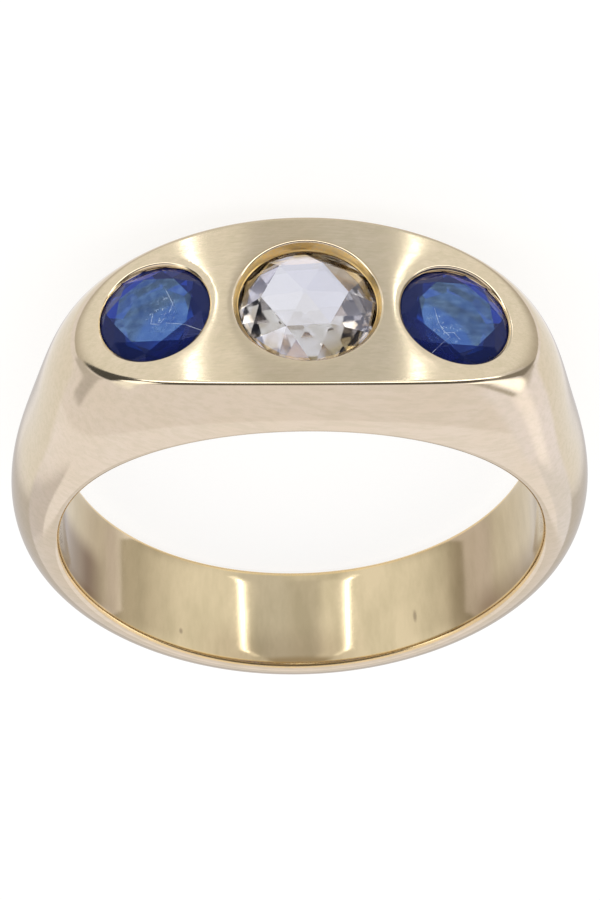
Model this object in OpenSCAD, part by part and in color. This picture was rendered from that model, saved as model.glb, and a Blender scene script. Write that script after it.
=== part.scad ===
// Three-stone band ring: a rose-cut diamond between two round sapphires, all set flush in a domed face.
// The ring lies on its side the way it rests by itself, with its head towards -Y and z = 0 on the surface.
// Left, right and back are as seen from above with the head held up and the side that lies uppermost in front.

/* [Finger hole] */
// Radius of the finger hole
bore_r = 9; // [8.5:0.05:9.5]
// Radius of the rounding where the finger hole meets the sides
rim_round = 0.24; // [0.15:0.01:0.4]

/* [Band] */
// Half the band's width at the middle of the head, measured at the finger hole
head_half_w = 4.55; // [4.2:0.05:4.8]
// Half the band's width at the bottom of the shank
shank_half_w = 2.3; // [1.9:0.05:2.6]
// Thickness of the shank
shank_t = 1.8; // [1.4:0.05:2.2]
// How much thicker the head is than the shank before its face is cut
head_rise = 2.05; // [1.8:0.05:2.4]
// Angle from the middle of the head at which the shoulders have mostly fallen away
shoulder_angle = 56; // [53:1:58]

/* [Face] */
// Height of the face's middle above the axis of the finger hole
face_h = 11.1; // [10.9:0.05:11.4]
// Radius to which the face is domed along its length
face_r = 18.2; // [15:0.1:24]

/* [Diamond] */
// Radius of the girdle
diamond_r = 2.62; // [2.4:0.01:2.7]
// Thickness of the girdle
diamond_girdle = 0.12; // [0.08:0.01:0.2]
// Height of the crown above the girdle
diamond_crown = 1.08; // [1.05:0.01:1.3]
// Radius of the ring of points round the star
diamond_star_r = 1.6; // [1.4:0.05:1.75]
// Height of those points above the girdle
diamond_star_h = 0.88; // [0.75:0.01:0.95]
// Radius of the small worn table at the top
diamond_table_r = 0.12; // [0.08:0.01:0.3]
// How far the star lies to the left of the girdle's centre
diamond_shift = 0.12; // [0:0.01:0.2]
// Angle by which the star is turned in its seat
diamond_turn = 4; // [0:1:59]
// Depth of the girdle's upper edge below the face
diamond_depth = 0.54; // [0.45:0.01:0.65]

/* [Sapphires] */
// Radius of the girdle
sapphire_r = 2.2; // [2:0.01:2.3]
// Thickness of the girdle
sapphire_girdle = 0.12; // [0.08:0.01:0.2]
// Height of the crown above the girdle
sapphire_crown = 0.38; // [0.3:0.01:0.45]
// Depth of the pavilion below the girdle
sapphire_pavilion = 0.5; // [0.4:0.05:0.6]
// Radius of the flat culet under it, out to its corners
sapphire_culet_r = 1.3; // [1.1:0.05:1.35]
// Radius of the table, out to its corners
sapphire_table_r = 1.5; // [1.2:0.05:1.6]
// Depth of the left stone's girdle below the face
sapphire_left_depth = 0.28; // [0.25:0.01:0.4]
// Depth of the right stone's girdle below the face
sapphire_right_depth = 0.34; // [0.25:0.01:0.4]
// Distance of the left sapphire's seat from the middle of the head, along the face
sapphire_left_x = 5.6; // [5.4:0.05:5.7]
// Distance of the right sapphire's seat from the middle of the head
sapphire_right_x = 5.45; // [5.4:0.05:5.7]
// How far the left sapphire's seat lies behind the middle of the face's width
sapphire_left_back = 0.15; // [-0.2:0.05:0.2]
// How far the right sapphire's seat lies behind it
sapphire_right_back = -0.05; // [-0.2:0.05:0.2]
// Angle by which the left sapphire is turned in its seat
sapphire_left_turn = 12; // [0:1:44]
// Angle by which the right sapphire is turned in its seat
sapphire_right_turn = 30; // [0:1:44]

/* [Seats] */
// Gap between a stone and the metal of its seat
seat_gap = 0.05; // [0.03:0.01:0.08]
// How far the metal lip reaches in over the girdle
lip_reach = 0.09; // [0.05:0.01:0.12]
// How much wider the mouth of the diamond's seat is than its lip, on the radius
diamond_flare = 0.2; // [0.15:0.01:0.25]
// How much wider the mouth of a sapphire's seat is than its lip, on the radius
sapphire_flare = 0.08; // [0.05:0.01:0.12]
// Height of the lip above the girdle's upper edge
lip_h = 0.12; // [0.1:0.01:0.15]
// Width of the ledge under a stone
ledge_w = 0.45; // [0.4:0.05:0.5]
// Radius of the hole behind the diamond where it opens to the finger
diamond_back_r = 2.6; // [2.35:0.05:2.65]
// Radius of the hole behind a sapphire where it opens to the finger
sapphire_back_r = 1.9; // [1.85:0.05:1.95]

/* [Hidden] */
gold = [0.86, 0.74, 0.5];
clear = [0.9, 0.93, 0.95];
blue = [0.08, 0.14, 0.45];
full = 360;
quarter = 90;
// Sections round the ring, and steps along the rounding and along each outer half of a section
ring_steps = 96;
rim_steps = 3;
outer_steps = 9;
// The rounding starts at this slope, so that the finger hole cuts it at a clear angle
rim_from = 25;
// Metal inside the finger hole's wall, which the hole then takes away
core = 0.6;
// Power of the shoulders' fall, and of the sides' taper
shoulder_power = 5;
taper_power = 2.25;
// Length of the cutters, past both sides of the band
cut_len = 14;
// Height to which a seat's mouth is cut above the face
mouth_over = 1;
// Depth below the face at which the hole behind a stone reaches its full width
back_depth = 1.9;
// Facets of a full circle
smooth = 128;
// The diamond's girdle has a corner every 30 degrees, but one is missing, which leaves a long straight side
star_corners = 6;
girdle_corners = 2*star_corners;
missing_corner = 8;
table_corners = 8;

// Share of the head's rise that is left at angle a from the middle of the head
function rise_left(a) = exp(-pow(abs(a)/shoulder_angle, shoulder_power));
// Half the width at the finger hole, at angle a
function half_w(a) = shank_half_w + (head_half_w - shank_half_w)*pow((1 + cos(a))/2, taper_power);
// Thickness of the uncut band at angle a
function blank_t(a) = shank_t + head_rise*rise_left(a);

// Where the rounding at the finger hole ends on the side of the section at angle a: the angle along the
// ellipse that the section's outer part follows, and the height.
function side_from(a) = asin(rim_round/blank_t(a));
function side_z(a) = half_w(a)*cos(side_from(a));

// Upper half of the section at angle a, as [radius, height]: the rounding at the finger hole, then a
// quarter of an ellipse out to the crown of the band.
function half_section(a) =
    let (in_r = rim_round*(1 - cos(rim_from)), in_z = side_z(a) - rim_round*(1 - sin(rim_from)))
    concat(
        [[bore_r - core, in_z - (core + in_r)/tan(rim_from)]],
        [for (i = [0:rim_steps])
            let (f = rim_from + (quarter - rim_from)*i/rim_steps)
            [bore_r + rim_round*(1 - cos(f)), side_z(a) - rim_round*(1 - sin(f))]],
        [for (i = [1:outer_steps])
            let (q = side_from(a) + (quarter - side_from(a))*i/outer_steps)
            [bore_r + blank_t(a)*sin(q), half_w(a)*cos(q)]]);

// The whole section: the upper half, then its mirror image back to the finger hole
function section(a) =
    let (upper = half_section(a), last = len(upper) - 2)
    concat(upper, [for (i = [last:-1:0]) [upper[i][0], -upper[i][1]]]);

// A point of the section at angle a, in the ring's own frame with the head towards -Y
function around(a, p) = [p[0]*sin(a), -p[0]*cos(a), p[1]];

// Distance from the finger hole's axis to the centre of the face's dome, on the shank's side
face_drop = face_r - face_h;
// Place of the face and its tilt at distance x from its middle
function face_y(x) = face_drop - sqrt(pow(face_r, 2) - pow(x, 2));
function face_tilt(x) = asin(x/face_r);

// Distance from the finger hole's axis to the domed face, at angle a
function face_reach(a) = sqrt(pow(face_r, 2) - pow(face_drop*sin(a), 2)) - face_drop*cos(a);

// How the ring rests: the edge of the finger hole meets the surface at the head and at the bottom of the
// shank, so the ring leans over to its narrow shank. Its lowest point is at z = 0, and the middle of its
// length is at the origin.
lean = atan((side_z(0) - side_z(full/2))/(2*(bore_r + rim_round)));
function leaned(p) = [p[0], p[1]*cos(lean) + p[2]*sin(lean), p[2]*cos(lean) - p[1]*sin(lean)];
outline = [for (i = [0:ring_steps - 1])
    let (a = full*i/ring_steps - full/2)
    for (p = section(a))
        leaned(around(a, abs(a) < quarter ? [min(p[0], face_reach(a)), p[1]] : p))];
lengths = [for (p = outline) p[1]];
heights = [for (p = outline) p[2]];
rest_move = [0, -(min(lengths) + max(lengths))/2, -min(heights)];

module at_rest() {
    translate(rest_move) rotate([-lean, 0, 0]) children();
}

// Moves its children to the seat at distance x along the face and that far behind its middle, with +Z out
// of the face
module at_seat(x, back = 0) {
    translate([x, face_y(x), -back]) rotate([0, 0, face_tilt(x)]) rotate([quarter, 0, 0]) children();
}
module at_left_seat() {
    at_seat(sapphire_left_x, sapphire_left_back) children();
}
module at_right_seat() {
    at_seat(-sapphire_right_x, sapphire_right_back) children();
}

// The band before its face, finger hole and seats are cut
module blank() {
    count = len(section(0));
    points = [for (i = [0:ring_steps - 1])
        let (a = full*i/ring_steps - full/2)
        for (p = section(a)) around(a, p)];
    faces = [for (i = [0:ring_steps - 1]) for (j = [0:count - 1])
        let (ni = (i + 1)%ring_steps, nj = (j + 1)%count,
             p = i*count + j, q = i*count + nj, r = ni*count + nj, s = ni*count + j)
        for (triangle = [[p, r, q], [p, s, r]]) triangle];
    polyhedron(points, faces);
}

// Cutter of a seat: a flared mouth, a groove under the lip for the girdle, a ledge, and a hole that widens
// towards the finger
module seat_cut(girdle_r, depth, flare, groove_h, ledge_drop, back_r) {
    lip_r = girdle_r - lip_reach;
    lip_z = lip_h - depth;
    groove_r = girdle_r + seat_gap;
    floor_z = lip_z - groove_h;
    hole_r = groove_r - ledge_w;
    mouth_r = lip_r + flare*(mouth_over - lip_z)/(-lip_z);
    rotate_extrude($fn = smooth)
        polygon([[0, mouth_over], [mouth_r, mouth_over], [lip_r, lip_z], [groove_r, lip_z],
                 [groove_r, floor_z], [hole_r, floor_z - ledge_drop], [back_r, -back_depth],
                 [back_r, -cut_len/2], [0, -cut_len/2]]);
}

// One gold casting: domed face, tapering shank, rounded finger hole and three seats open at the back
module band() {
    color(gold) at_rest() difference() {
        intersection() {
            blank();
            translate([0, face_drop, 0]) cylinder(r = face_r, h = cut_len, center = true, $fn = 2*smooth);
        }
        cylinder(r = bore_r, h = cut_len, center = true, $fn = smooth);
        at_seat(0) diamond_seat();
        at_left_seat() sapphire_seat(sapphire_left_depth);
        at_right_seat() sapphire_seat(sapphire_right_depth);
    }
}

// The ledge of the diamond's seat is flat like the stone's back, and that of a sapphire's seat slopes like the
// stone's pavilion
module diamond_seat() {
    seat_cut(diamond_r, diamond_depth, diamond_flare, lip_h + diamond_girdle + seat_gap, 0, diamond_back_r);
}
module sapphire_seat(depth) {
    seat_cut(sapphire_r, depth, sapphire_flare, lip_h + sapphire_girdle + seat_gap,
             ledge_w*sapphire_pavilion/(sapphire_r - sapphire_culet_r), sapphire_back_r);
}

// Rose-cut diamond: a small table, six star facets, a belt of triangles and a flat back
module diamond() {
    step = full/star_corners;
    half = step/2;
    shift = [diamond_shift, 0, 0];
    table = [for (i = [0:star_corners - 1]) shift + corner(diamond_table_r, i*step, diamond_crown)];
    star = [for (i = [0:star_corners - 1]) shift + corner(diamond_star_r, i*step, diamond_star_h)];
    upper = [for (i = [0:girdle_corners - 1]) girdle_corner(i, half, 0)];
    lower = [for (i = [0:girdle_corners - 1]) girdle_corner(i, half, -diamond_girdle)];
    color(clear) at_rest() at_seat(0) translate([0, 0, -diamond_depth]) rotate([0, 0, diamond_turn])
        convex(concat(table, star, upper, lower));
}
function corner(r, a, z) = [r*cos(a), r*sin(a), z];
// The missing corner lies on the straight line between its neighbours
function girdle_corner(i, half, z) = corner(i == missing_corner ? diamond_r*cos(half) : diamond_r, i*half, z);

// The solid whose faces wrap round the points
module convex(points) {
    hull() polyhedron(points, [[for (i = [0:len(points) - 1]) i]]);
}

// Round sapphire with an eight-sided table, star, kite and girdle facets, and a shallow pavilion over an
// eight-sided culet
module sapphire(depth, turn) {
    step = full/table_corners;
    half = step/2;
    kite_r = (sapphire_table_r + sapphire_r)/2;
    kite_h = sapphire_crown*(sapphire_r - kite_r*cos(half))/(sapphire_r - sapphire_table_r);
    table = [for (i = [0:table_corners - 1]) corner(sapphire_table_r, i*step, sapphire_crown)];
    kites = [for (i = [0:table_corners - 1]) corner(kite_r, i*step + half, kite_h)];
    upper = [for (i = [0:2*table_corners - 1]) corner(sapphire_r, i*half, 0)];
    lower = [for (i = [0:2*table_corners - 1]) corner(sapphire_r, i*half, -sapphire_girdle)];
    culet = [for (i = [0:table_corners - 1])
        corner(sapphire_culet_r, i*step + half, -sapphire_girdle - sapphire_pavilion)];
    translate([0, 0, -depth]) rotate([0, 0, turn])
        convex(concat(table, kites, upper, lower, culet));
}

module sapphire_left() {
    color(blue) at_rest() at_left_seat() sapphire(sapphire_left_depth, sapphire_left_turn);
}

module sapphire_right() {
    color(blue) at_rest() at_right_seat() sapphire(sapphire_right_depth, sapphire_right_turn);
}

band();
diamond();
sapphire_left();
sapphire_right();
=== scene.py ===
import math

import bmesh
import bpy
import numpy as np
from mathutils import Matrix, Vector
from mathutils.geometry import delaunay_2d_cdt


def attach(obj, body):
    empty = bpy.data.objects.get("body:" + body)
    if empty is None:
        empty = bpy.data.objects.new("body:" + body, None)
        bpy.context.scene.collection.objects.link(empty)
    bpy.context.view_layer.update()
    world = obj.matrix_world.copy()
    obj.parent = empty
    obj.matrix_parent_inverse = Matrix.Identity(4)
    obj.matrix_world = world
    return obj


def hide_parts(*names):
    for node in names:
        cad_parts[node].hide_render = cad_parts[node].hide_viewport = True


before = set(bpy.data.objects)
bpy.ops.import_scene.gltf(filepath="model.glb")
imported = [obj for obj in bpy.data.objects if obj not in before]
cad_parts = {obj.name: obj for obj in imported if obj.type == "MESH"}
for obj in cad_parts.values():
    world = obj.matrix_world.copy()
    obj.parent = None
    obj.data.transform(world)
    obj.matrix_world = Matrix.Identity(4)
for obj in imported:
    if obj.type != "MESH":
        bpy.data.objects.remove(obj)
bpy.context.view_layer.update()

# Sizes of the ring in mm, the same as in its CAD source
BORE_R = 9.0
RIM_ROUND = 0.24
HEAD_HALF_W = 4.55
SHANK_HALF_W = 2.3
SHANK_T = 1.8
HEAD_RISE = 2.05
SHOULDER_ANGLE = math.radians(56)
SHOULDER_POWER = 5
TAPER_POWER = 2.25
FACE_H = 11.1
FACE_R = 18.2
FACE_DROP = FACE_R - FACE_H
GIRDLE = 0.12
SEAT_GAP = 0.05
LIP_REACH = 0.09
LIP_H = 0.12
LEDGE_W = 0.45
BACK_DEPTH = 1.9
SAPPHIRE_R = 2.2
SAPPHIRE_PAVILION = 0.5
SAPPHIRE_CULET_R = 1.3
SAPPHIRE_DROP = LEDGE_W * SAPPHIRE_PAVILION / (SAPPHIRE_R - SAPPHIRE_CULET_R)
# Each seat: its distance along the face, how far it lies behind the middle of the face's width, the stone's
# radius, the girdle's depth, the mouth's flare, the ledge's drop, the radius of the hole at the finger,
# and how strongly its gold is painted deeper and warmer, a painted reflection of gold in gold
MIDDLE_SEAT = {"x": 0.0, "back": 0.0, "r": 2.62, "depth": 0.54, "flare": 0.20, "drop": 0.0, "back_r": 2.6,
               "painted_bounce": 1.0}
LEFT_SEAT = {"x": 5.6, "back": 0.15, "r": SAPPHIRE_R, "depth": 0.28, "flare": 0.08, "drop": SAPPHIRE_DROP,
             "back_r": 1.9, "painted_bounce": 0.4}
RIGHT_SEAT = {"x": -5.45, "back": -0.05, "r": SAPPHIRE_R, "depth": 0.34, "flare": 0.08, "drop": SAPPHIRE_DROP,
              "back_r": 1.9, "painted_bounce": 0.4}
SEATS = [MIDDLE_SEAT, LEFT_SEAT, RIGHT_SEAT]
# Where the middle of the finger hole is when the ring rests, in mm
REST_MOVE = np.array([0.0, 0.352545, 3.38505])
MM = 0.001

# Finer sizes that only this mesh has, in mm.
# The finger hole's wall is worn: it opens a little towards both ends before the rounding
WORN_LENGTH = 0.45
WORN_DEPTH = 0.03
WORN_SLOPE = math.atan(2 * WORN_DEPTH / WORN_LENGTH)
RIM_REACH = WORN_DEPTH + RIM_ROUND * math.cos(WORN_SLOPE)
# Softness of the face's edge: crisp along both sides, soft round both ends
EDGE_CRISP = 0.13
EDGE_SOFT = 0.22
SOFT_FROM = math.radians(33)
SOFT_TO = math.radians(43)
# The metal worked down round each stone: its depth at the rim, and how fast that fades
SAG_DEPTH = 0.022
SAG_FADE = 0.3
MOUTH_ROUND = 0.11
LIP_ROUND = 0.03
LIP_SLANT = 0.05

# Columns of the mesh round the ring, close together at the head
HEAD_TO = math.radians(52)
HEAD_COLUMNS = 288
SHANK_COLUMNS = 204
head_angles = np.linspace(-HEAD_TO, HEAD_TO, HEAD_COLUMNS + 1)
shank_angles = np.linspace(HEAD_TO, 2 * math.pi - HEAD_TO, SHANK_COLUMNS + 1)[1:-1]
ANGLES = np.concatenate([head_angles, shank_angles])
ANGLES = np.mod(ANGLES + math.pi, 2 * math.pi) - math.pi

# Rows of half a section, from the middle of the finger hole's wall to the middle of the face
BORE_ROWS = 10
WORN_ROWS = 6
RIM_ROWS = 8
SIDE_ROWS = 26
EDGE_ROWS = 12
FACE_ROWS = 25
RIM_START = BORE_ROWS + WORN_ROWS
FACE_START = RIM_START + RIM_ROWS + SIDE_ROWS + EDGE_ROWS
FACE_END = FACE_START + 2 * FACE_ROWS
# How far the rows of the edge spread, in widths of the edge, and the steepest place where they can lie
EDGE_SPAN = 1.25
STEEPEST = math.radians(66)

# Steps round each seat, over its mouth, down its wall and round its lip
SEAT_SEGMENTS = 120
PHI = np.linspace(0, 2 * math.pi, SEAT_SEGMENTS, endpoint=False)
MOUTH_STEPS = 9
WALL_SHARES = (0.25, 0.5, 0.75)
LIP_STEPS = 5

# The seats' mouths are cut in a block of the face's mesh, and their holes to the finger in one of the finger
# hole's wall. Each block is laid out flat: so many mm for a radian round the ring, and for half its height
BLOCK_REACH = math.radians(46)
BLOCK_COLUMNS = np.where(np.abs(ANGLES) <= BLOCK_REACH)[0]
FACE_STRETCH = (11.0, 3.5)
BORE_STRETCH = (9.0, 4.0)
# A block's own points are left out where they are nearer than this to a hole's edge
HOLE_MARGIN = 0.09
MERGE_WITHIN = 1e-7
# A seat's lines along its axis meet the band's surfaces between these heights, found by halving
LOWEST, HIGHEST = -6.0, 1.0
HALVINGS = 50

# Zones of the gold, which its material reads: how far it is brushed face, finger hole and seat. The seat's
# share also lays in a painted reflection of gold in gold, which the finger hole's rim takes at half
SIDE, FACE, BORE, RIM = (0, 0, 0), (1, 0, 0), (0, 1, 0), (0, 0.5, 0.5)
# Round the ends of the face its brushed look gives way to that of the sides
BRUSHED_TO = math.radians(40)
SIDE_FROM = math.radians(44)


def smooth_step(x, low, high):
    """0 up to low, 1 from high, and a smooth rise between them."""
    t = np.clip((x - low) / (high - low), 0, 1)
    return t * t * (3 - 2 * t)


def half_w(a):
    """Half the band's width at the finger hole, at angle a from the middle of the head."""
    return SHANK_HALF_W + (HEAD_HALF_W - SHANK_HALF_W) * ((1 + np.cos(a)) / 2) ** TAPER_POWER


def blank_t(a):
    """Thickness of the band at angle a before its face is cut."""
    return SHANK_T + HEAD_RISE * np.exp(-(np.abs(a) / SHOULDER_ANGLE) ** SHOULDER_POWER)


def face_reach(a):
    """Distance from the finger hole's axis to the domed face."""
    return np.sqrt(FACE_R**2 - (FACE_DROP * np.sin(a)) ** 2) - FACE_DROP * np.cos(a)


def side_z(a, rim_reach):
    """Height at which the rounding of the finger hole, which reaches that far outwards, ends on the side."""
    return half_w(a) * np.sqrt(1 - (rim_reach / blank_t(a)) ** 2)


def straight_z(a):
    """Height to which the finger hole's wall is straight."""
    return side_z(a, RIM_REACH) - RIM_ROUND * (1 - math.sin(WORN_SLOPE)) - WORN_LENGTH


# The ring rests on the finger hole's edge, at the head and at the bottom of the narrower shank
LEAN = math.atan((side_z(0.0, RIM_ROUND) - side_z(math.pi, RIM_ROUND)) / (2 * (BORE_R + RIM_ROUND)))


def to_world(p):
    """Points in the ring's own frame, in mm, moved to where the ring rests, in metres."""
    p = np.asarray(p, float)
    c, s = math.cos(LEAN), math.sin(LEAN)
    leaned = np.stack([p[..., 0], p[..., 1] * c + p[..., 2] * s, p[..., 2] * c - p[..., 1] * s], axis=-1)
    return (leaned + REST_MOVE) * MM


def world_direction(d):
    """A direction in the ring's own frame, turned as the ring rests."""
    return Vector((to_world(d) - to_world((0, 0, 0))) / MM)


def edge_width(a):
    """Width over which the face's edge is softened at angle a."""
    return EDGE_CRISP + (EDGE_SOFT - EDGE_CRISP) * smooth_step(np.abs(a), SOFT_FROM, SOFT_TO)


def seat_axes(seat):
    """Origin of a seat and its axes: along the face, across it and out of it."""
    x = seat["x"]
    tilt = math.asin(x / FACE_R)
    origin = np.array([x, FACE_DROP - math.sqrt(FACE_R**2 - x**2), -seat["back"]])
    along = np.array([math.cos(tilt), math.sin(tilt), 0.0])
    across = np.array([0.0, 0.0, 1.0])
    out = np.array([math.sin(tilt), -math.cos(tilt), 0.0])
    return origin, along, across, out


def seat_profile(seat):
    """Radii of a seat's mouth, lip, groove and hole, and the heights of its lip, floor and ledge."""
    lip_z = LIP_H - seat["depth"]
    lip_r = seat["r"] - LIP_REACH
    floor_z = lip_z - (LIP_H + GIRDLE + SEAT_GAP)
    groove_r = seat["r"] + SEAT_GAP
    return {"mouth_r": lip_r + seat["flare"], "lip_r": lip_r, "lip_z": lip_z,
            "groove_r": groove_r, "floor_z": floor_z,
            "hole_r": groove_r - LEDGE_W, "ledge_z": floor_z - seat["drop"]}


def mouth_start(seat):
    """Radius at which the rounding of a seat's mouth starts on the face, and the slope of the wall below."""
    p = seat_profile(seat)
    slope = math.atan2(-p["lip_z"], seat["flare"])
    return p["mouth_r"] + MOUTH_ROUND * math.tan(slope / 2), slope


def distance_to_seat(seat, x, y, z):
    """Distance of a point from a seat's axis."""
    origin, along, _, _ = seat_axes(seat)
    u = (x - origin[0]) * along[0] + (y - origin[1]) * along[1]
    return np.hypot(u, z - origin[2])


def outer_r(a, z):
    """Distance from the axis to the band's outer surface, at angle a and height z."""
    w = half_w(a)
    blank = BORE_R + blank_t(a) * np.sqrt(np.clip(1 - (z / w) ** 2, 0, 1))
    reach = face_reach(a)
    k = edge_width(a)
    h = np.clip(1 - np.abs(blank - reach) / k, 0, 1)
    r = np.minimum(blank, reach) - h * h * k / 4
    x, y = r * np.sin(a), -r * np.cos(a)
    sag = 0
    for seat in SEATS:
        away = np.abs(distance_to_seat(seat, x, y, z) - mouth_start(seat)[0])
        sag = sag + SAG_DEPTH * np.where(np.cos(a) > 0, np.exp(-away / SAG_FADE), 0)
    return r - sag


def bore_r(a, z):
    """Distance from the axis to the finger hole's wall, in the form that outer_r has."""
    return BORE_R + 0 * a


def ring_point(a, r, z):
    """Points at angle a, distance r from the axis and height z."""
    return np.stack(np.broadcast_arrays(r * np.sin(a), -r * np.cos(a), z), axis=-1)


def face_edge(a):
    """The angle at which half a section turns into the face, and how far the edge's rows spread from it."""
    t = blank_t(a)
    q_edge = np.arcsin(np.clip((face_reach(a) - BORE_R) / t, 0, math.sin(STEEPEST)))
    spread = EDGE_SPAN * edge_width(a) / (t * np.cos(q_edge))
    return q_edge, np.minimum(spread, 0.5 * (math.pi / 2 - q_edge))


def face_top(a):
    """Height at which the rows of the face start, inside its edge."""
    a = np.atleast_1d(np.asarray(a, float))
    q_edge, spread = face_edge(a)
    return half_w(a) * np.cos(q_edge + spread)


def bore_top(a):
    """Height at which the straight wall of the finger hole ends, in the form that face_top has."""
    return np.atleast_1d(straight_z(a))


def half_rows(a):
    """[(radius, height)] at every angle of a, from the finger hole's wall out to the middle of the face."""
    rows = []
    for i in range(BORE_ROWS + 1):
        rows.append((np.full_like(a, BORE_R), straight_z(a) * i / BORE_ROWS))
    for i in range(1, WORN_ROWS + 1):
        share = i / WORN_ROWS
        rows.append((BORE_R + WORN_DEPTH * share**2 + 0 * a, straight_z(a) + WORN_LENGTH * share))
    for f in np.linspace(WORN_SLOPE, math.pi / 2, RIM_ROWS + 1)[1:]:
        rows.append((BORE_R + RIM_REACH - RIM_ROUND * math.cos(f) + 0 * a,
                     side_z(a, RIM_REACH) - RIM_ROUND * (1 - math.sin(f))))
    w = half_w(a)
    q_from = np.arcsin(RIM_REACH / blank_t(a))
    q_edge, spread = face_edge(a)
    heights = []
    for i in range(1, SIDE_ROWS + 1):
        heights.append(w * np.cos(q_from + (q_edge - spread - q_from) * i / SIDE_ROWS))
    for i in range(1, EDGE_ROWS + 1):
        heights.append(w * np.cos(q_edge - spread + 2 * spread * i / EDGE_ROWS))
    inner_z = heights[-1]
    for i in range(1, FACE_ROWS + 1):
        heights.append(inner_z * (1 - i / FACE_ROWS))
    return rows + [(outer_r(a, z), z) for z in heights]


class Builder:
    """Gathers vertices and faces, with the zone that each vertex belongs to."""

    def __init__(self):
        self.points, self.zones, self.faces = [], [], []

    def add(self, points, zone):
        start = len(self.points)
        self.points.extend(np.asarray(points, float).reshape(-1, 3))
        self.zones.extend([zone] * (len(self.points) - start))
        return list(range(start, len(self.points)))

    def strip(self, lower, upper):
        """Closed strip of quads between two rings of vertices."""
        n = len(lower)
        for i in range(n):
            self.faces.append((lower[i], lower[(i + 1) % n], upper[(i + 1) % n], upper[i]))


def row_zone(from_bore):
    """Zone of a row, by its number from the middle of the finger hole's wall."""
    if from_bore < RIM_START:
        return BORE
    if from_bore <= RIM_START + RIM_ROWS // 2:
        return RIM
    return SIDE


def add_grid(builder):
    """Adds the band's vertices, and gives their numbers by row of the section and column round the ring."""
    upper = half_rows(ANGLES)
    section = upper + [(r, -z) for r, z in upper[-2:0:-1]]
    count = len(section)
    ids = np.zeros((count, len(ANGLES)), int)
    brushed = 1 - smooth_step(np.abs(ANGLES), BRUSHED_TO, SIDE_FROM)
    for j, (r, z) in enumerate(section):
        ids[j] = builder.add(ring_point(ANGLES, r, z), row_zone(min(j, count - j)))
        if FACE_START - EDGE_ROWS // 2 <= j <= FACE_END + EDGE_ROWS // 2:
            for i, share in zip(ids[j], brushed):
                builder.zones[i] = (float(share), 0, 0)
    return ids


def add_quads(builder, ids, blocks):
    """Adds the faces of the whole band, apart from those in the blocks' rows at the head."""
    count, total = ids.shape
    blocked = np.zeros(ids.shape, bool)
    for rows in blocks:
        blocked[np.ix_(rows[:-1], BLOCK_COLUMNS[:-1])] = True
    for j in range(count):
        for c in range(total):
            if not blocked[j, c]:
                nj, nc = (j + 1) % count, (c + 1) % total
                builder.faces.append((ids[j, c], ids[j, nc], ids[nj, nc], ids[nj, c]))


def seat_point(seat, rho, h):
    """Points round a seat's axis, at each angle of PHI, at distance rho and height h."""
    origin, along, across, out = seat_axes(seat)
    rho = np.broadcast_to(rho, PHI.shape)[:, None]
    h = np.broadcast_to(h, PHI.shape)[:, None]
    return origin + rho * (np.cos(PHI)[:, None] * along + np.sin(PHI)[:, None] * across) + h * out


def drop_to(seat, rho, radius_at):
    """Heights at which the lines along a seat's axis at distance rho meet a surface round the finger hole."""
    low, high = np.full(PHI.shape, LOWEST), np.full(PHI.shape, HIGHEST)
    for _ in range(HALVINGS):
        middle = (low + high) / 2
        p = seat_point(seat, rho, middle)
        r, a = np.hypot(p[:, 0], p[:, 1]), np.arctan2(p[:, 0], -p[:, 1])
        inside = r < radius_at(a, p[:, 2])
        low, high = np.where(inside, middle, low), np.where(inside, high, middle)
    return (low + high) / 2


def add_seat(builder, seat):
    """Adds a seat, and gives its loops in the face and in the finger hole: (seat, radius, ids, heights)."""
    start_r, slope = mouth_start(seat)
    p = seat_profile(seat)
    top_h = drop_to(seat, start_r, outer_r)
    bore_h = drop_to(seat, seat["back_r"], bore_r)
    profile = []
    for beta in np.linspace(0, slope, MOUTH_STEPS + 1)[1:]:
        profile.append((start_r - MOUTH_ROUND * math.sin(beta), -MOUTH_ROUND * (1 - math.cos(beta))))
    wall_r, wall_h = profile[-1]
    for share in WALL_SHARES:
        profile.append((wall_r + (p["lip_r"] + LIP_ROUND * 0.5 - wall_r) * share,
                        wall_h + (p["lip_z"] + 2 * LIP_ROUND - wall_h) * share))
    for beta in np.linspace(0, math.pi, LIP_STEPS + 1):
        profile.append((p["lip_r"] + LIP_ROUND * (1 - math.sin(beta)),
                        p["lip_z"] + LIP_ROUND * (1 + math.cos(beta))))
    # The rings follow the face's curve at the mouth and are flat from the lip on
    rings = [builder.add(seat_point(seat, start_r, top_h), FACE)]
    for k, (rho, h) in enumerate(profile):
        fade = np.clip(1 - h / p["lip_z"], 0, 1)
        # Past the mouth's rounding, the seat's walls take the painted reflection of gold in gold
        zone = SIDE if k < MOUTH_STEPS - 1 else (0, 0, seat["painted_bounce"])
        rings.append(builder.add(seat_point(seat, rho, h + top_h * fade), zone))
    for rho, h in ((p["groove_r"], p["lip_z"] - LIP_SLANT), (p["groove_r"], p["floor_z"]),
                   (p["hole_r"], p["ledge_z"]), (seat["back_r"], -BACK_DEPTH), (seat["back_r"], bore_h)):
        rings.append(builder.add(seat_point(seat, rho, h), SIDE))
    for outer, inner in zip(rings, rings[1:]):
        builder.strip(inner, outer)
    return (seat, start_r, rings[0], top_h), (seat, seat["back_r"], rings[-1], bore_h)


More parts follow.
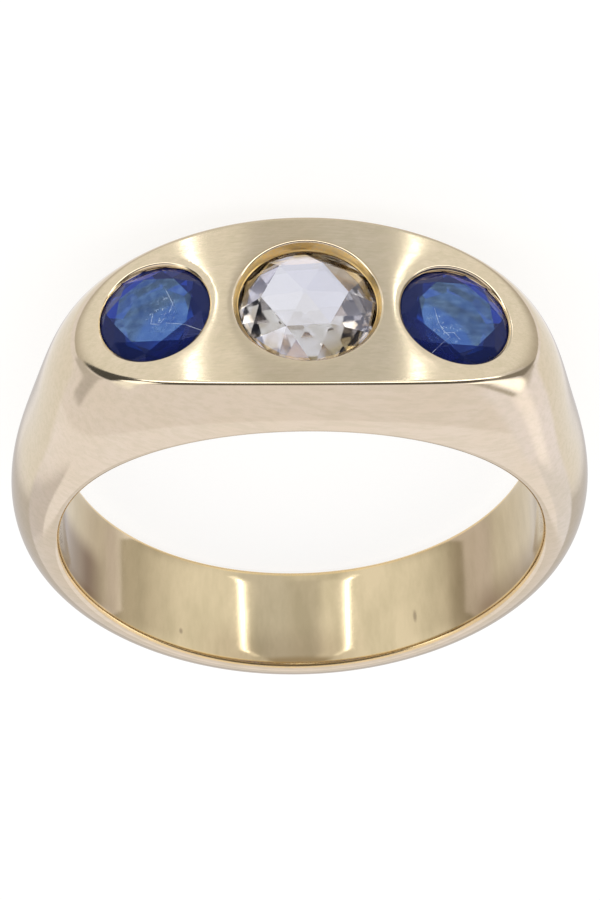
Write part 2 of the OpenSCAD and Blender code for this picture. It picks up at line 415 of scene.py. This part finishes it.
def patch(builder, grid_ids, grid_uv, loops, gap_at, flip):
    """Fills a block round its holes: its border and the holes' loops stay, and the rest is triangulated."""
    rows, columns = grid_ids.shape
    ids, uv, edges = [], [], []

    def take(i, p):
        ids.append(i)
        uv.append(Vector((float(p[0]), float(p[1]))))
        return len(ids) - 1

    def take_loop(pairs):
        taken = [take(i, p) for i, p in pairs]
        edges.extend((taken[i], taken[(i + 1) % len(taken)]) for i in range(len(taken)))

    border = [(0, c) for c in range(columns)] + [(r, columns - 1) for r in range(1, rows)]
    border += [(rows - 1, c) for c in range(columns - 2, -1, -1)] + [(r, 0) for r in range(rows - 2, 0, -1)]
    take_loop([(grid_ids[r, c], grid_uv[r, c]) for r, c in border])
    for r in range(1, rows - 1):
        for c in range(1, columns - 1):
            if gap_at(grid_uv[r, c]) > HOLE_MARGIN:
                take(grid_ids[r, c], grid_uv[r, c])
    for loop_ids, loop_uv in loops:
        take_loop(zip(loop_ids, loop_uv))
    places, _, triangles, origins, _, _ = delaunay_2d_cdt(uv, edges, [], 0, MERGE_WITHIN)
    back = [ids[origin[0]] for origin in origins]
    for triangle in triangles:
        centre = (places[triangle[0]] + places[triangle[1]] + places[triangle[2]]) / 3
        if gap_at(centre) > 0:
            corners = [back[i] for i in triangle]
            builder.faces.append(tuple(reversed(corners)) if flip else tuple(corners))


def fill_block(builder, ids, rows, top_at, stretch, loops, radius_at, inside):
    """Lays a block out flat and fills it round the seats' loops. Inside means in the finger hole's wall."""
    shares = np.linspace(1, -1, len(rows)) * (-1 if inside else 1)
    round_ring = ANGLES[BLOCK_COLUMNS][None, :] * stretch[0]
    grid_uv = np.stack(np.broadcast_arrays(round_ring, shares[:, None] * stretch[1]), axis=-1)
    flat_loops = []
    for seat, rho, loop, h in loops:
        p = seat_point(seat, rho, h)
        angle = np.arctan2(p[:, 0], -p[:, 1])
        uv = np.stack([angle * stretch[0], p[:, 2] / top_at(angle) * stretch[1]], axis=-1)
        flat_loops.append((loop, uv))

    def gap_at(q):
        """How far a point of the flat block lies outside the nearest hole."""
        angle = q[0] / stretch[0]
        z = q[1] / stretch[1] * float(top_at(angle)[0])
        r = float(radius_at(np.array([angle]), np.array([z]))[0])
        x, y = r * math.sin(angle), -r * math.cos(angle)
        return min(distance_to_seat(seat, x, y, z) - rho for seat, rho, _, _ in loops)

    patch(builder, ids[np.ix_(rows, BLOCK_COLUMNS)], grid_uv, flat_loops, gap_at, inside)


def build_band():
    """The whole band, with its seats cut in the face and in the finger hole's wall."""
    builder = Builder()
    ids = add_grid(builder)
    face_rows = list(range(FACE_START, FACE_END + 1))
    bore_rows = [j % len(ids) for j in range(-BORE_ROWS, BORE_ROWS + 1)]
    add_quads(builder, ids, (face_rows, bore_rows))
    mouths, backs = zip(*[add_seat(builder, seat) for seat in SEATS])
    fill_block(builder, ids, face_rows, face_top, FACE_STRETCH, mouths, outer_r, False)
    fill_block(builder, ids, bore_rows, bore_top, BORE_STRETCH, backs, bore_r, True)
    return builder


# The view's turn about the ring, by which the painted shade on the finger hole's two sides differs, in
# degrees
PAINTED_SHADE_TURN = 3.5


def painted_shade_at(p):
    """How much painted shade darkens the finger hole's wall at points of the ring: low on both sides and in
    front.
    """
    a = np.arctan2(p[:, 0], -p[:, 1])
    # Height as a share of the band's half width, and the angle down from the head in degrees
    share = p[:, 2] / half_w(a)
    down = np.abs(np.degrees(a) + PAINTED_SHADE_TURN)
    # Painted shade, for shadow and dark reflections: low on both sides, in front and at the bottom
    left = 0.58 * smooth_step(share, -0.25, 0.25)
    right = 0.38 * smooth_step(share, 0.2, 0.9)
    front = np.where(a > 0, left, right) * (1 - smooth_step(down, 120, 132))
    cover = smooth_step(down, 92, 100) * (1 - smooth_step(down, 132, 138))
    sides = cover * (0.22 + 0.16 * smooth_step(down, 116, 124) + front)
    bottom = 0.25 * smooth_step(share, 0.0, 0.7) * smooth_step(down, 155, 170)
    return sides + bottom


def make_mesh(name, builder, material):
    """Makes a piece from a builder. Its attribute zones holds the zones, and the finger hole's painted shade
    as the alpha.
    """
    used = sorted({i for face in builder.faces for i in face})
    place = {i: n for n, i in enumerate(used)}
    mesh = bpy.data.meshes.new(name)
    points = np.array([builder.points[i] for i in used])
    mesh.from_pydata(to_world(points).tolist(), [], [tuple(place[i] for i in face) for face in builder.faces])
    mesh.shade_smooth()
    zones = mesh.color_attributes.new("zones", "FLOAT_COLOR", "POINT")
    values = np.ones((len(used), 4), np.float32)
    values[:, :3] = [builder.zones[i] for i in used]
    values[:, 3] = painted_shade_at(points)
    zones.data.foreach_set("color", values.ravel())
    mesh.materials.append(material)
    mesh.validate()
    shape = bmesh.new()
    shape.from_mesh(mesh)
    bmesh.ops.recalc_face_normals(shape, faces=shape.faces)
    shape.to_mesh(mesh)
    shape.free()
    piece = bpy.data.objects.new(name, mesh)
    bpy.context.scene.collection.objects.link(piece)
    return piece


class Nodes:
    """Short ways to make and link the nodes of a material or a world."""

    def __init__(self, tree):
        self.tree = tree
        tree.nodes.clear()

    def make(self, kind, inputs=None, **settings):
        node = self.tree.nodes.new(kind)
        for key, value in settings.items():
            setattr(node, key, value)
        for key, value in (inputs or {}).items():
            self.put(node.inputs[key], value)
        return node

    def put(self, socket, value):
        if isinstance(value, bpy.types.NodeSocket):
            self.tree.links.new(value, socket)
        else:
            socket.default_value = value

    def math(self, operation, a, b=0.0, clamp=False):
        return self.make("ShaderNodeMath", {0: a, 1: b}, operation=operation, use_clamp=clamp).outputs[0]

    def add(self, a, b):
        return self.math("ADD", a, b)

    def times(self, a, b):
        return self.math("MULTIPLY", a, b)

    def minus(self, a, b):
        return self.math("SUBTRACT", a, b)

    def most(self, a, b):
        return self.math("MAXIMUM", a, b)

    def vector(self, operation, a, b):
        return self.make("ShaderNodeVectorMath", {0: a, 1: b}, operation=operation).outputs["Vector"]

    def measure(self, operation, a, b=(0, 0, 0)):
        """A number made from one or two vectors: LENGTH, DISTANCE or DOT_PRODUCT."""
        return self.make("ShaderNodeVectorMath", {0: a, 1: b}, operation=operation).outputs["Value"]

    def noise(self, vector, scale, detail=2.0, roughness=0.5):
        return self.make("ShaderNodeTexNoise", {"Vector": vector, "Scale": scale, "Detail": detail,
                                                "Roughness": roughness}).outputs["Fac"]

    def ramp(self, value, low, high, to_low=0.0, to_high=1.0, kind="LINEAR"):
        return self.make("ShaderNodeMapRange", {"Value": value, "From Min": low, "From Max": high,
                                                "To Min": to_low, "To Max": to_high},
                         interpolation_type=kind).outputs[0]

    def mix(self, factor, a, b):
        node = self.make("ShaderNodeMix", data_type="RGBA")
        self.put(node.inputs[0], factor)
        self.put(node.inputs[6], a)
        self.put(node.inputs[7], b)
        return node.outputs[2]

    def millimetres(self, stretch=(1, 1, 1), turn=(0, 0, 0)):
        """The object's coordinates in mm, turned and then stretched along each axis."""
        coordinates = self.make("ShaderNodeTexCoord").outputs["Object"]
        turned = self.make("ShaderNodeMapping", {"Vector": coordinates, "Rotation": turn}).outputs[0]
        scale = [s / MM for s in stretch]
        return self.make("ShaderNodeMapping", {"Vector": turned, "Scale": scale}).outputs[0]

    def on_seat(self, seat):
        """How far a point lies from a seat's middle along the face and across it, in mm."""
        origin, along, across, _ = seat_axes(seat)
        coordinates = self.make("ShaderNodeTexCoord").outputs["Object"]
        offset = self.vector("SUBTRACT", coordinates, tuple(to_world(origin)))
        return [self.measure("DOT_PRODUCT", offset, world_direction(axis) / MM) for axis in (along, across)]

    def facing(self, direction):
        """How far the surface faces a direction of the ring's own frame."""
        normal = self.make("ShaderNodeTexCoord").outputs["Normal"]
        return self.measure("DOT_PRODUCT", normal, world_direction(direction))


def new_material(name):
    """A new material and its nodes."""
    material = bpy.data.materials.new(name)
    material.use_nodes = True
    return material, Nodes(material.node_tree)


# The gold's colours in different places and states
GOLD = (0.71, 0.605, 0.45, 1)
GOLD_DEEP = (0.70, 0.59, 0.425, 1)
GOLD_BORE = (0.70, 0.58, 0.375, 1)
# Painted reflection: gold reflected in gold, deeper and warmer, laid into the seats' colour
GOLD_PAINTED_BOUNCE = (1.0, 0.68, 0.24, 1)
GOLD_SMUDGED = (0.60, 0.50, 0.315, 1)
GOLD_DULL = (0.63, 0.545, 0.385, 1)
# Painted shade, laid into the finger hole's wall where shadow and dark reflections fall
GOLD_PAINTED_SHADE = (0.12, 0.05, 0.01, 1)
GOLD_SPECK = (0.30, 0.24, 0.16, 1)
# Dark specks in the finger hole: their angle round the ring, their height and half their length, in mm
BORE_SPECKS = [(math.pi - 0.505, 1.35, 0.12), (math.pi + 0.536, 0.80, 0.26)]
SPECK_HALF_W = 0.07
SPECK_DARKNESS = 0.7
# How deep the finest scratches are, in mm
FINE_DEPTH = 0.003


def speck_cover(n):
    """1 on the specks, fading to 0 at their edges."""
    cover = 0.0
    for angle, height, half_long in BORE_SPECKS:
        spot = to_world((BORE_R * math.sin(angle), -BORE_R * math.cos(angle), height)) / MM
        offset = n.vector("SUBTRACT", n.millimetres(), tuple(spot))
        away = n.measure("LENGTH", n.vector("MULTIPLY", offset, (1, 1, SPECK_HALF_W / half_long)))
        cover = n.most(cover, n.ramp(away, 1.5 * SPECK_HALF_W, 0.5 * SPECK_HALF_W))
    return cover


def gold_material():
    """Gold that is brushed on the face, smudged and darkened by painted shade in the finger hole, and painted
    deeper in the seats.
    """
    material, n = new_material("worn_gold")
    zones = n.make("ShaderNodeVertexColor", layer_name="zones").outputs
    face, bore, seat = n.make("ShaderNodeSeparateColor", {"Color": zones["Color"]}).outputs
    painted_shade = zones["Alpha"]
    off_face = n.minus(1.0, face)

    cloudy = n.noise(n.millimetres(), 0.6, detail=3.0)
    brushed = n.noise(n.millimetres((0.5, 14, 14)), 1.0, detail=4.0, roughness=0.6)
    blotchy = n.noise(n.millimetres((1, 2, 2), (0.0, 0.3, 0.0)), 1.6, detail=4.0, roughness=0.7)
    dull = n.ramp(n.add(n.times(brushed, 0.45), n.times(blotchy, 0.55)), 0.38, 0.62)
    streaks = n.noise(n.millimetres((0.9, 5, 5), (0.0, 0.1, 0.2)), 1.0, detail=3.0, roughness=0.6)
    smudged = n.noise(n.millimetres((1.1, 1.1, 0.3)), 1.0, detail=4.0, roughness=0.6)
    uneven = n.noise(n.millimetres((2, 2, 3), (0.5, 0.2, 0.4)), 3.0, detail=2.0, roughness=0.7)

    colour = n.mix(n.ramp(cloudy, 0.35, 0.7), GOLD, GOLD_DEEP)
    colour = n.mix(n.times(face, dull), colour, GOLD_DULL)
    colour = n.mix(n.times(n.ramp(streaks, 0.42, 0.62, to_high=0.6), off_face), colour, GOLD_DULL)
    walls = n.mix(n.ramp(smudged, 0.40, 0.66), GOLD_BORE, GOLD_SMUDGED)
    # Painted shade darkens the finger hole's wall
    colour = n.mix(bore, colour, n.mix(painted_shade, walls, GOLD_PAINTED_SHADE))
    colour = n.mix(n.times(speck_cover(n), SPECK_DARKNESS), colour, GOLD_SPECK)
    # Painted reflection of gold in gold: the seats' gold deeper and warmer, unevenly
    colour = n.mix(n.times(seat, n.ramp(uneven, 0.4, 0.6, to_low=0.7)), colour, GOLD_PAINTED_BOUNCE)

    # Fine scratches: brushed ones along the face, and two sets that cross on the rest
    fine = n.noise(n.millimetres((3, 3, 40), (0.4, 0.7, 0.2)), 1.0, detail=3.0)
    wear = n.noise(n.millimetres((30, 2, 4), (0.1, -0.5, 0.9)), 1.0, detail=3.0)
    crossed = n.add(fine, wear)
    rough_face = n.ramp(dull, 0.0, 1.0, to_low=0.075, to_high=0.13)
    rough_side = n.ramp(crossed, 0.8, 1.3, to_low=0.05, to_high=0.11)
    rough = n.add(n.times(rough_face, face), n.times(rough_side, off_face))
    rough = n.add(rough, n.times(seat, 0.25))
    lines = n.add(n.times(brushed, n.times(face, 0.4)), n.times(crossed, 0.2))
    bump = n.make("ShaderNodeBump", {"Height": lines, "Strength": 0.5, "Distance": FINE_DEPTH * MM})
    shader = n.make("ShaderNodeBsdfPrincipled", {
        "Base Color": colour, "Metallic": 1.0, "Roughness": rough, "Normal": bump.outputs[0]})
    n.make("ShaderNodeOutputMaterial", {"Surface": shader.outputs[0]})
    return material


CLEAR = (1, 1, 1, 1)
# Painted reflection of the seat's gold, seen in the diamond round its girdle
GOLD_PAINTED_REFLECTION = (0.42, 0.30, 0.12, 1)
# Painted light and shade on the star's facets, by the way each faces
STAR_PAINTED_SHADE = (0.62, 0.63, 0.76, 1)
STAR_PAINTED_LIGHT = (0.90, 0.92, 1.0, 1)
DIAMOND_SHINE = (0.74, 0.76, 0.95, 1)
DIAMOND_IOR = 2.42
DIAMOND_INSIDE = {"Color": (0.55, 0.55, 0.62, 1), "Density": 170.0}
# How far from the diamond's middle the painted reflection of its seat's gold starts, and is full, in mm
GOLD_REFLECTION_REACH = (1.55, 2.25)


def diamond_material():
    """Clear, with the star's facets painted lilac, lighter or darker by the way they face, and a painted
    reflection of the seat's gold in patches round the girdle.
    """
    material, n = new_material("rose_cut_diamond")
    _, along, across, out = seat_axes(MIDDLE_SEAT)
    u, v = n.on_seat(MIDDLE_SEAT)
    from_middle = n.math("SQRT", n.add(n.times(u, u), n.times(v, v)))
    star = n.ramp(n.facing(out), 0.95, 0.97)
    facet_shading = n.ramp(n.facing(0.8 * across + 0.6 * along), -0.15, 0.15)
    patches = n.ramp(n.noise(n.millimetres((1, 1, 1), (0.2, 0.4, 0.1)), 1.3, detail=1.0), 0.38, 0.54)
    # Painted reflection of the seat's gold round the girdle
    colour = n.mix(n.times(n.ramp(from_middle, *GOLD_REFLECTION_REACH), patches), CLEAR, GOLD_PAINTED_REFLECTION)
    # Painted light and shade: the star's facets lilac, lighter or darker by the way they face
    colour = n.mix(star, colour, n.mix(facet_shading, STAR_PAINTED_SHADE, STAR_PAINTED_LIGHT))
    worn = n.noise(n.millimetres((3, 3, 3)), 1.0, detail=4.0)
    rough = n.ramp(worn, 0.4, 0.7, to_low=0.02, to_high=0.07)
    shader = n.make("ShaderNodeBsdfPrincipled", {
        "Base Color": colour, "Roughness": rough, "IOR": DIAMOND_IOR, "Specular Tint": DIAMOND_SHINE,
        "Transmission Weight": 1.0})
    inside = n.make("ShaderNodeVolumeAbsorption", DIAMOND_INSIDE)
    n.make("ShaderNodeOutputMaterial", {"Surface": shader.outputs[0], "Volume": inside.outputs[0]})
    return material


SAPPHIRE_CROWN = (0.07, 0.11, 0.46, 1)
# Painted light: the table's lighter blue stands for light that shows through it
SAPPHIRE_TABLE_PAINTED_LIGHT = (0.14, 0.26, 0.56, 1)
SAPPHIRE_CLOUDY = (0.33, 0.55, 0.80, 1)
SAPPHIRE_SCRATCH = (0.80, 0.88, 0.95, 1)
SAPPHIRE_SHINE = (0.09, 0.10, 0.21, 1)
SAPPHIRE_IOR = 1.77
SAPPHIRE_INSIDE = {"Color": (0.06, 0.45, 0.80, 1), "Density": 2600.0}
# Scratches worn into the sapphires: lines from point to point, in mm along the face and across it
LEFT_SCRATCHES = [
    [(-0.49, 0.70), (-1.74, 1.11)],
    [(-0.51, -0.81), (-0.77, -0.10), (-0.61, 0.27)],
    [(0.0, 0.17), (0.08, 0.61), (-0.22, 0.73), (-0.41, 0.50)],
]
RIGHT_SCRATCHES = [
    [(1.06, 1.94), (0.31, 1.13), (0.54, 0.88)],
    [(0.87, -0.07), (0.73, 0.56), (0.51, 0.99), (0.15, 0.89), (-0.07, 1.16)],
]
SCRATCH_HALF_W = 0.016
# Where each sapphire is scribbled over with fine scratches: the middle of that patch and its radius, in mm
LEFT_SCRIBBLE = ((-0.35, 0.25), 0.95)
RIGHT_SCRIBBLE = ((0.50, 0.85), 0.85)


def line_cover(n, place, start, end):
    """1 on the line between two points of a stone, fading to 0 at its sides."""
    step = Vector((end[0] - start[0], end[1] - start[1], 0))
    offset = n.vector("SUBTRACT", place, (*start, 0))
    share = n.math("MULTIPLY", n.measure("DOT_PRODUCT", offset, step / step.length_squared), 1.0, clamp=True)
    on_line = n.make("ShaderNodeVectorMath", {0: step, "Scale": share}, operation="SCALE").outputs["Vector"]
    away = n.measure("DISTANCE", offset, on_line)
    return n.ramp(away, SCRATCH_HALF_W, 0.3 * SCRATCH_HALF_W)


def scribble_cover(n, place, scribble):
    """1 on the fine curled scratches round a spot of a stone, fading out towards the patch's radius."""
    middle, radius = scribble
    away = n.measure("DISTANCE", place, (*middle, 0))
    lines = 0.0
    for scale in (2.1, 3.7):
        # The noise is 0.5 along curled lines
        level = n.math("ABSOLUTE", n.minus(n.noise(place, scale, detail=1.5), 0.5))
        lines = n.most(lines, n.ramp(level, 0.006 * scale, 0.001 * scale))
    broken = n.ramp(n.noise(place, 6.0, detail=2.0), 0.46, 0.62)
    return n.times(n.times(lines, broken), n.ramp(away, radius, 0.4 * radius))


def sapphire_material(name, seat, scratches, scribble):
    """Deep blue, with the table that lies at a seat worn dull, cloudy and scratched, and painted a lighter
    blue for the light that shows through it.
    """
    material, n = new_material(name)
    _, _, _, out = seat_axes(seat)
    u, v = n.on_seat(seat)
    place = n.make("ShaderNodeCombineXYZ", {"X": u, "Y": v}).outputs[0]
    table = n.ramp(n.facing(out), 0.97, 0.99)
    cloud = n.noise(n.millimetres(), 1.7, detail=5.0, roughness=0.6)
    grain = n.noise(n.millimetres((1, 5, 5), (0.3, 0.2, 0.6)), 1.0, detail=4.0)
    worn = n.times(table, n.ramp(n.times(n.add(cloud, grain), 0.5), 0.32, 0.68))
    scratched = 0.0
    for line in scratches:
        for start, end in zip(line, line[1:]):
            scratched = n.most(scratched, line_cover(n, place, start, end))
    scratched = n.most(scratched, scribble_cover(n, place, scribble))
    scratched = n.times(scratched, n.ramp(grain, 0.35, 0.6, to_low=0.35, to_high=0.9))

    # Painted light: the table a lighter blue than the crown, for light that shows through it, with its real
    # cloudy wear over that
    colour = n.mix(table, SAPPHIRE_CROWN, n.mix(worn, SAPPHIRE_TABLE_PAINTED_LIGHT, SAPPHIRE_CLOUDY))
    colour = n.mix(scratched, colour, SAPPHIRE_SCRATCH)
    rough_table = n.times(table, n.ramp(worn, 0, 1, to_low=0.04, to_high=0.16))
    rough = n.add(n.ramp(cloud, 0.4, 0.7, to_low=0.01, to_high=0.05), rough_table)
    rough = n.add(rough, n.times(scratched, 0.3))
    clear = n.ramp(worn, 0, 1, to_low=0.88, to_high=0.71)
    clear = n.math("SUBTRACT", clear, n.times(scratched, 0.5), clamp=True)
    shader = n.make("ShaderNodeBsdfPrincipled", {
        "Base Color": colour, "Roughness": rough, "IOR": SAPPHIRE_IOR, "Specular Tint": SAPPHIRE_SHINE,
        "Transmission Weight": clear})
    inside = n.make("ShaderNodeVolumeAbsorption", SAPPHIRE_INSIDE)
    n.make("ShaderNodeOutputMaterial", {"Surface": shader.outputs[0], "Volume": inside.outputs[0]})
    return material


band = make_mesh("band_worn", build_band(), gold_material())
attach(band, "root")
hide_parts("band")

stone_looks = {
    "diamond": diamond_material(),
    "sapphire_left": sapphire_material("left_sapphire", LEFT_SEAT, LEFT_SCRATCHES, LEFT_SCRIBBLE),
    "sapphire_right": sapphire_material("right_sapphire", RIGHT_SEAT, RIGHT_SCRATCHES, RIGHT_SCRIBBLE),
}
for node, look in stone_looks.items():
    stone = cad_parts[node]
    stone.data.materials.clear()
    stone.data.materials.append(look)
    stone.data.shade_flat()


# Camera, from the photo's viewing angle. The photo looks down on the head with the shank below it in the
# picture; the ring lies on its side, so the camera stands over the floor and is rolled half round.
VIEW_AZIMUTH = math.radians(-3.48)
VIEW_ELEVATION = math.radians(53.76)
VIEW_ROLL = math.radians(2.60)
# Distance from the finger hole's middle, focal length and sensor, in mm
VIEW_DISTANCE = 300.0
LENS = 320.1
SENSOR_WIDTH = 36
# The picture's middle from the finger hole's middle, and the picture's height, in pixels
SHIFT_X = 0.33
SHIFT_Y = 30.07
PICTURE_HEIGHT = 900
# The nearest and farthest things that the camera sees, in metres
CLIP = (0.01, 10)


def from_upright(v):
    """A direction seen with the head held up, where z is up and y is away, turned as the ring rests."""
    return world_direction((-v[0], -v[2], -v[1]))


def make_camera():
    """The camera, aimed at the finger hole's middle."""
    away = np.array([math.sin(VIEW_AZIMUTH) * math.cos(VIEW_ELEVATION),
                     -math.cos(VIEW_AZIMUTH) * math.cos(VIEW_ELEVATION), math.sin(VIEW_ELEVATION)])
    right = np.array([math.cos(VIEW_AZIMUTH), math.sin(VIEW_AZIMUTH), 0.0])
    up = np.cross(away, right)
    rolled_right = math.cos(VIEW_ROLL) * right + math.sin(VIEW_ROLL) * up
    rolled_up = -math.sin(VIEW_ROLL) * right + math.cos(VIEW_ROLL) * up
    axes = [from_upright(v) for v in (rolled_right, rolled_up, away)]
    data = bpy.data.cameras.new("camera")
    data.lens = LENS
    data.sensor_width = SENSOR_WIDTH
    data.shift_x = SHIFT_X / PICTURE_HEIGHT
    data.shift_y = SHIFT_Y / PICTURE_HEIGHT
    data.clip_start, data.clip_end = CLIP
    camera = bpy.data.objects.new("camera", data)
    bpy.context.scene.collection.objects.link(camera)
    turn = Matrix(axes).transposed().to_4x4()
    camera.matrix_world = Matrix.Translation(Vector(REST_MOVE * MM) + axes[2] * VIEW_DISTANCE * MM) @ turn
    bpy.context.scene.camera = camera


# Half the floor's width and how far it lies under the ring, in metres
FLOOR_HALF = 3.0
FLOOR_DROP = 0.00002
PAPER = (0.28, 0.275, 0.23, 1)
PAPER_LIGHT = (0.29, 0.285, 0.24, 1)
FLOOR_GLOW = (0.80, 0.80, 0.81, 1)


def make_floor():
    """A pale floor that glows a little. The gold doesn't mirror it and it casts no shadow."""
    mesh = bpy.data.meshes.new("floor")
    corners = [(-FLOOR_HALF, -FLOOR_HALF, 0), (FLOOR_HALF, -FLOOR_HALF, 0), (FLOOR_HALF, FLOOR_HALF, 0),
               (-FLOOR_HALF, FLOOR_HALF, 0)]
    mesh.from_pydata(corners, [], [(0, 1, 2, 3)])
    floor = bpy.data.objects.new("floor", mesh)
    floor.location.z = -FLOOR_DROP
    bpy.context.scene.collection.objects.link(floor)
    material, n = new_material("pale_floor")
    fibres = n.ramp(n.noise(n.millimetres(), 0.05, detail=3.0), 0.3, 0.7)
    shader = n.make("ShaderNodeBsdfPrincipled", {
        "Base Color": n.mix(fibres, PAPER, PAPER_LIGHT), "Roughness": 0.9, "Specular IOR Level": 0.1,
        "Emission Color": FLOOR_GLOW, "Emission Strength": 1.0})
    n.make("ShaderNodeOutputMaterial", {"Surface": shader.outputs[0]})
    mesh.materials.append(material)
    floor.visible_glossy = False
    floor.visible_shadow = False
    return floor


make_camera()
make_floor()

# Studio, in directions as seen with the head held up: pale soft walls all round, and the darker places and
# the lamps between them. Azimuth 0 is behind the ring, 90 to its right; all angles are in degrees.
# Each panel: its span in azimuth and in elevation, how soft its edges are, and its light
WALLS = [
    ((-200, 200), (-62, -27), 3, (1.10, 1.09, 1.20)),
    ((60, 124), (-44, 4), 10, (1.09, 1.09, 1.26)),
    ((93, 108), (-44, -4), 10, (1.30, 1.29, 1.45)),
    ((72, 90), (-10, 20), 5, (0.66, 0.64, 0.66)),
    ((-200, 200), (-100, -62), 4, (0.90, 0.88, 0.93)),
    ((-112, -36), (-62, -41), 5, (0.79, 0.77, 0.84)),
    ((36, 112), (-62, -41), 5, (0.97, 0.98, 1.10)),
    ((-74, 74), (-100, -46), 6, (0.66, 0.64, 0.65)),
    ((-74, 74), (-46, -14), 8, (0.98, 0.97, 0.97)),
    ((-74, 3), (2, 60), 3, (0.60, 0.57, 0.53)),
    ((-3, 74), (-5, 60), 3, (0.60, 0.57, 0.53)),
    ((-78, 78), (16, 110), 36, (1.04, 1.03, 1.02)),
    ((-22, 22), (30, 48), 8, (0.84, 0.83, 0.80)),
    ((-15, 14), (47, 66), 9, (0.72, 0.71, 0.70)),
    ((6, 30), (34, 66), 12, (0.76, 0.76, 0.77)),
    ((-30, 30), (61, 90), 8, (0.56, 0.50, 0.42)),
]
WALL_LIGHT = (1.0, 0.98, 1.06, 1)
# The small bright and dark places in front of those walls
LAMPS = [
    ((-97, -85), (-17, 8), 5, (0.68, 0.66, 0.70)),
    ((-87, -66), (-7, 8), 6, (0.68, 0.66, 0.68)),
    ((-103, -68), (11, 42), 5, (0.10, 0.10, 0.10)),
    ((-122, -106), (8, 20), 4, (1.30, 1.30, 1.30)),
    ((-118, -101), (20, 37), 4, (2.0, 2.0, 2.0)),
    ((-31.2, -26.8), (40, 58), 2, (1.55, 1.55, 1.55)),
    ((30.4, 34.8), (39, 57), 2, (1.55, 1.55, 1.55)),
    ((-30.6, -28.8), (44, 51), 0.8, (4.5, 4.5, 4.5)),
    ((32.1, 33.9), (43.5, 50.5), 0.8, (4.5, 4.5, 4.5)),
]
# Slanted ones, which the right end of the face shows, with their azimuth as it is at elevation 0
SLANT = 0.9
SLANTED = [
    ((70, 90), (-4, 22), 6, (0.30, 0.28, 0.26)),
    ((109, 113.5), (-7, 15), 3, (0.62, 0.60, 0.60)),
    ((95, 106), (-7, 19), 6, (2.1, 2.1, 2.1)),
]
# Strips overhead, from left to right: a dark one where the camera stands and a bright one behind it. Each has
# its span in angles up from the front, how soft its edges are, and its light
STRIPS = [
    (46, 82, 6, (0.14, 0.13, 0.12, 1)),
    (84, 99, 4, (3.2, 3.2, 3.2, 1)),
]
# The strips end where a direction points this far sideways, with ends this soft
STRIP_REACH = 0.92
STRIP_END_SOFT = 0.1


def window(n, value, low, high, soft):
    """1 between low and high, with edges of the width soft."""
    edges = [n.ramp(value, edge - soft / 2, edge + soft / 2, kind="SMOOTHSTEP") for edge in (low, high)]
    return n.minus(*edges)


def add_panels(n, light, panels, azimuth, elevation):
    """The light with panels laid over it, each over those before it."""
    for span, height, soft, colour in panels:
        cover = n.times(window(n, azimuth, *span, soft), window(n, elevation, *height, soft))
        light = n.mix(cover, light, (*colour, 1))
    return light


def make_studio():
    """The world's light: walls, strips and lamps, by direction."""
    world = bpy.data.worlds.new("studio")
    world.use_nodes = True
    n = Nodes(world.node_tree)
    direction = n.make("ShaderNodeTexCoord").outputs["Generated"]
    rightwards, backwards, upwards = [
        n.measure("DOT_PRODUCT", direction, from_upright(axis)) for axis in ((1, 0, 0), (0, 1, 0), (0, 0, 1))]
    azimuth = n.math("DEGREES", n.math("ARCTAN2", rightwards, backwards))
    elevation = n.math("DEGREES", n.math("ARCSINE", upwards))
    overhead = n.math("DEGREES", n.math("ARCTAN2", upwards, n.times(backwards, -1.0)))
    light = add_panels(n, WALL_LIGHT, WALLS, azimuth, elevation)
    for low, high, soft, colour in STRIPS:
        strip = n.times(window(n, overhead, low, high, soft),
                        window(n, rightwards, -STRIP_REACH, STRIP_REACH, STRIP_END_SOFT))
        light = n.mix(strip, light, colour)
    light = add_panels(n, light, LAMPS, azimuth, elevation)
    slanted = n.minus(azimuth, n.times(elevation, SLANT))
    light = add_panels(n, light, SLANTED, slanted, elevation)
    background = n.make("ShaderNodeBackground", {"Color": light, "Strength": 1.0})
    n.make("ShaderNodeOutputWorld", {"Surface": background.outputs[0]})
    bpy.context.scene.world = world


make_studio()
bpy.context.scene.view_settings.view_transform = "Standard"
# Light is turned back many times inside a cut stone
bpy.context.scene.cycles.glossy_bounces = 12
